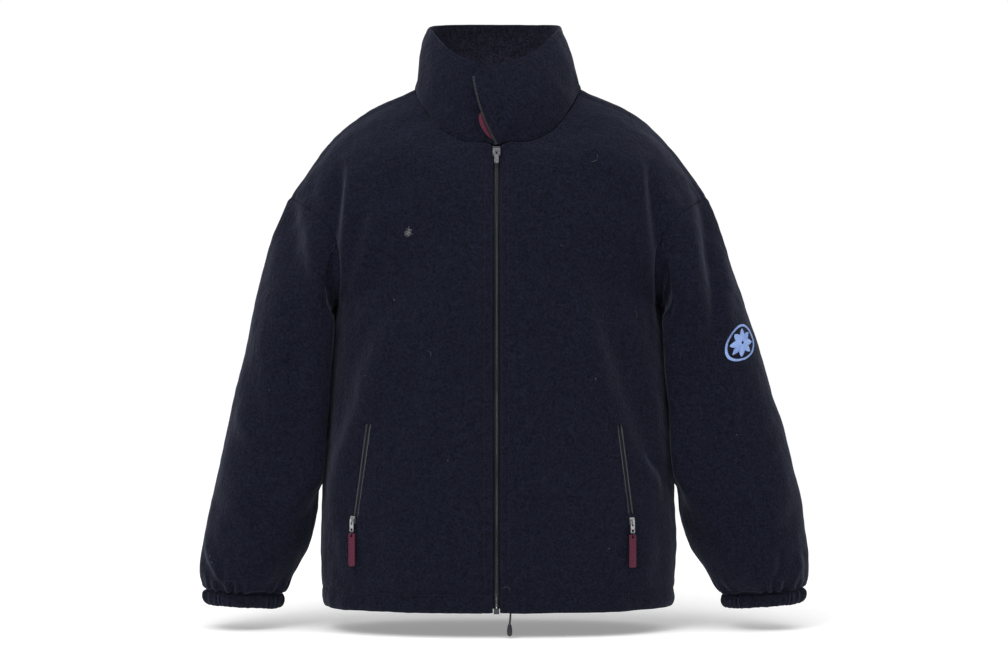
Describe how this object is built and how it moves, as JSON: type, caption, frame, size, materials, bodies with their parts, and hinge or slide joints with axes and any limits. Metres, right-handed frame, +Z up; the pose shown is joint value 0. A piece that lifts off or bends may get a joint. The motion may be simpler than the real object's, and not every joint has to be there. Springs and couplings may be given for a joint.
{
  "type": "fleece zip jacket",
  "caption": "Hollow fleece jacket with a stand collar, full front zip, dropped shoulders, zipped slant pockets and elasticated cuffs, held up at the shoulders.",
  "frame": {"origin": "midway between the two neck points, where shoulders hold the jacket up", "axes": "+Z up, -Y the front, +X the wearer's left"},
  "size_m": [0.8339, 0.2926, 0.8387],
  "materials": {
    "fleece": "matt navy fleece with a short nap",
    "binding": "gathered elastic fleece band",
    "zip_tape": "woven tape",
    "zip_teeth": "moulded zip teeth",
    "metal": "cast and tumbled",
    "maroon": "woven maroon tape",
    "cord": "braided elastic cord",
    "moulding": "moulded cord end"
  },
  "bodies": {
    "jacket": {"front_left": "fleece", "front_right": "fleece", "back": "fleece", "sleeve_left": "fleece", "sleeve_right": "fleece", "cuff_left": "binding", "cuff_right": "binding", "collar": "fleece", "collar_tape": "maroon", "collar_teeth_left": "zip_teeth", "collar_teeth_right": "zip_teeth", "zip_tape_left": "zip_tape", "zip_tape_right": "zip_tape", "zip_chain": "zip_teeth", "zip_stop": "zip_teeth", "zip_slider": "metal", "pocket_bag_left": "fleece", "pocket_bag_right": "fleece", "pocket_zip_left": "zip_tape", "pocket_zip_right": "zip_tape", "pocket_slider_left": "metal", "pocket_slider_right": "metal", "drawcord": "cord", "drawcord_end": "moulding"},
    "main_pull": {"zip_pull": "metal"},
    "left_pull": {"pocket_pull_left": "metal", "pocket_ring_left": "metal", "pocket_tab_left": "maroon"},
    "right_pull": {"pocket_pull_right": "metal", "pocket_ring_right": "metal", "pocket_tab_right": "maroon"}
  },
  "joints": [
    {"name": "main_pull_swing", "type": "hinge", "parent": "jacket", "child": "main_pull", "pos_m": [0, -0.1237, -0.08977], "axis": [-1, 0, 0], "range_deg": [0, 140]},
    {"name": "left_pull_swing", "type": "hinge", "parent": "jacket", "child": "left_pull", "pos_m": [0.18154, -0.11839, -0.584], "axis": [-0.8782, -0.4783, 0], "range_deg": [0, 140]},
    {"name": "right_pull_swing", "type": "hinge", "parent": "jacket", "child": "right_pull", "pos_m": [-0.19355, -0.10869, -0.583], "axis": [-0.8182, 0.575, 0], "range_deg": [0, 140]}
  ]
}
